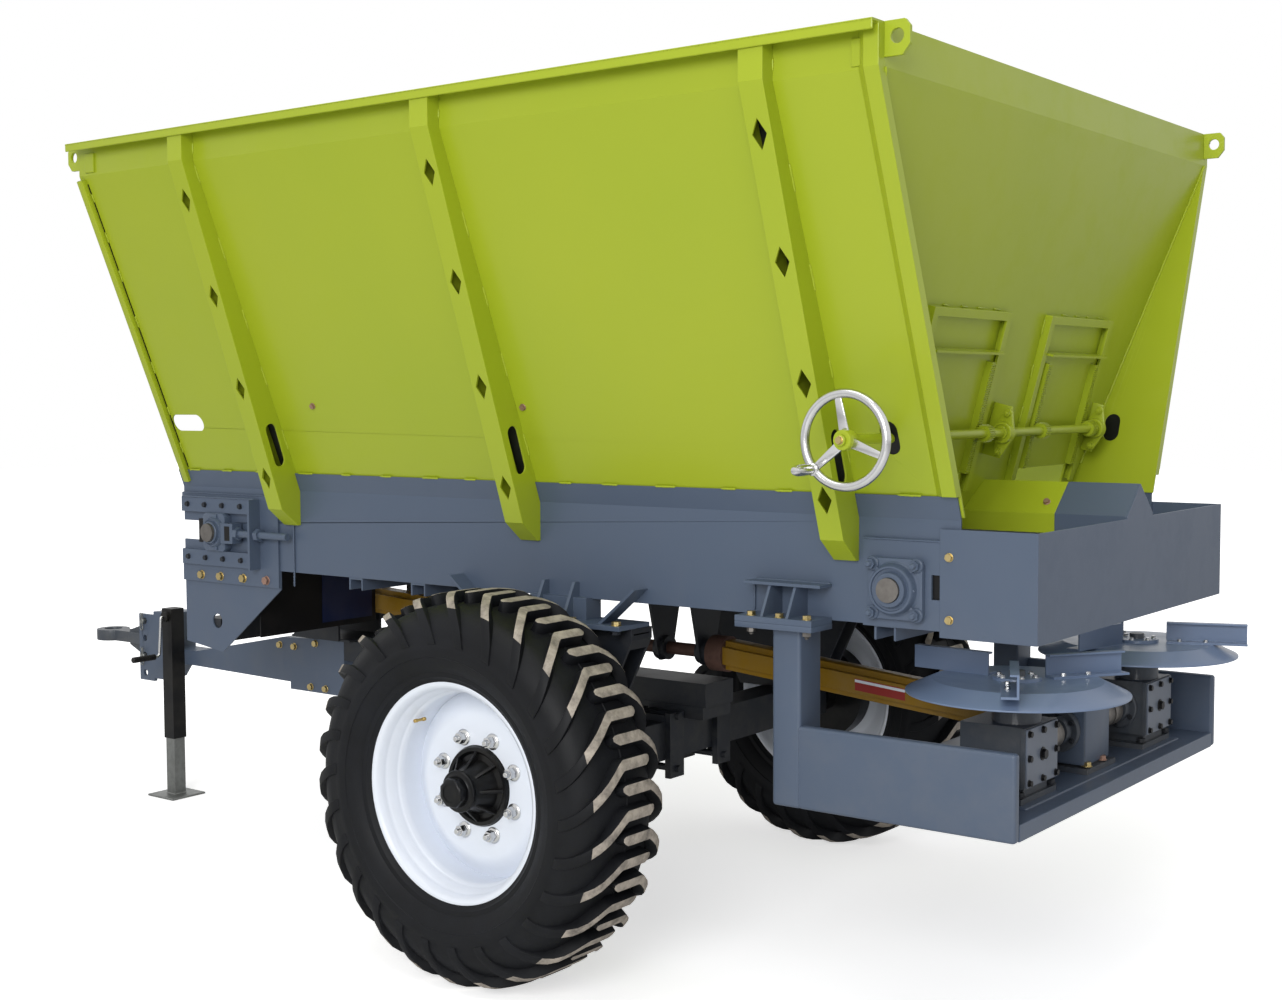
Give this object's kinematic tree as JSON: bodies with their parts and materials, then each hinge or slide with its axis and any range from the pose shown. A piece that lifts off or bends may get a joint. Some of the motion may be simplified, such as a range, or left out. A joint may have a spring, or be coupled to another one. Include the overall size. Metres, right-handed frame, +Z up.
{
  "type": "manure spreader",
  "caption": "Towed manure spreader: sloped hopper over a conveyor bed, rear gates worked by a handwheel, spinning discs behind, wheels on an axle, drawbar with tow ring and jack.",
  "frame": {"origin": "on the ground under the middle of the length and width", "axes": "+X forward towards the tow ring, +Y to the left, +Z up"},
  "size_m": [4.6005, 2.1766, 2.381],
  "materials": {
    "green": "gloss lime green paint",
    "grey": "satin blue-grey paint",
    "dark": "satin dark grey paint",
    "black": "satin black paint",
    "white": "gloss white paint",
    "silver": "polished steel",
    "zinc": "galvanised steel",
    "bare_steel": "bare steel",
    "rusty": "brown oxidised steel",
    "cast": "painted casting",
    "yellow_guard": "yellow plastic guard",
    "tyre": "black rubber"
  },
  "bodies": {
    "frame": {"hopper_side_left": "green", "hopper_side_right": "green", "hopper_front_panel": "green", "hopper_rear_panel": "green", "hopper_ribs": "green", "lifting_eyes": "green", "gate_guides": "green", "gate_shaft_bearings": "green", "ridge_cover": "green", "ridge_cover_rear": "grey", "bed_side_left": "grey", "bed_side_right": "grey", "bed_floor": "dark", "bed_cross_members": "grey", "conveyor_left": "bare_steel", "conveyor_right": "bare_steel", "conveyor_shafts": "bare_steel", "conveyor_bearings": "grey", "tensioners": "grey", "axle_beam": "dark", "axle_posts": "dark", "axle_hangers": "grey", "axle_clamps": "dark", "centre_beam": "dark", "drawbar": "grey", "tow_ring": "cast", "jack_tube": "black", "jack_crank": "zinc", "input_gearbox": "cast", "shaft_guards": "yellow_guard", "line_shaft": "rusty", "line_hangers": "dark", "cradle_brackets": "grey", "cradle_side_left": "grey", "cradle_side_right": "grey", "cradle_base": "grey", "gearboxes": "cast", "cross_shafts": "bare_steel", "rear_hood": "grey"},
    "wheel_left": {"tyre_left": "tyre", "wheel_rim_left": "white", "wheel_hub_left": "black"},
    "wheel_right": {"tyre_right": "tyre", "wheel_rim_right": "white", "wheel_hub_right": "black"},
    "disc_left": {"disc_left": "grey"},
    "disc_right": {"disc_right": "grey"},
    "gate_drive": {"gate_shaft": "green", "handwheel": "silver"},
    "gate_left": {"gate_left": "green"},
    "gate_right": {"gate_right": "green"},
    "jack_leg": {"jack_leg": "zinc"}
  },
  "joints": [
    {"name": "wheel_left_spin", "type": "hinge", "parent": "frame", "child": "wheel_left", "pos_m": [-0.7, 0.922, 0.532], "axis": [0, 1, 0], "continuous": true},
    {"name": "wheel_right_spin", "type": "hinge", "parent": "frame", "child": "wheel_right", "pos_m": [-0.7, -0.922, 0.532], "axis": [0, 1, 0], "continuous": true},
    {"name": "disc_left_spin", "type": "hinge", "parent": "frame", "child": "disc_left", "pos_m": [-2.016, 0.399, 0.88], "axis": [0, 0, 1], "continuous": true},
    {"name": "disc_right_spin", "type": "hinge", "parent": "frame", "child": "disc_right", "pos_m": [-2.016, -0.399, 0.88], "axis": [0, 0, 1], "continuous": true},
    {"name": "handwheel_turn", "type": "hinge", "parent": "frame", "child": "gate_drive", "pos_m": [-1.81981, 0, 1.48], "axis": [0, -1, 0], "range_deg": [-350, 182]},
    {"name": "gate_left_slide", "type": "slide", "parent": "frame", "child": "gate_left", "axis": [-0.2538, 0, 0.9673], "range_m": [-0.135, 0.07]},
    {"name": "gate_right_slide", "type": "slide", "parent": "frame", "child": "gate_right", "axis": [-0.2538, 0, 0.9673], "range_m": [-0.135, 0.07]},
    {"name": "jack_slide", "type": "slide", "parent": "frame", "child": "jack_leg", "axis": [0, 0, 1], "range_m": [0, 0.215]}
  ],
  "couplings": [
    {"joint": "gate_left_slide", "follows": "handwheel_turn", "m_per_rad": 0.022},
    {"joint": "gate_right_slide", "follows": "handwheel_turn", "m_per_rad": 0.022},
    {"joint": "disc_right_spin", "follows": "disc_left_spin", "ratio": -1}
  ]
}
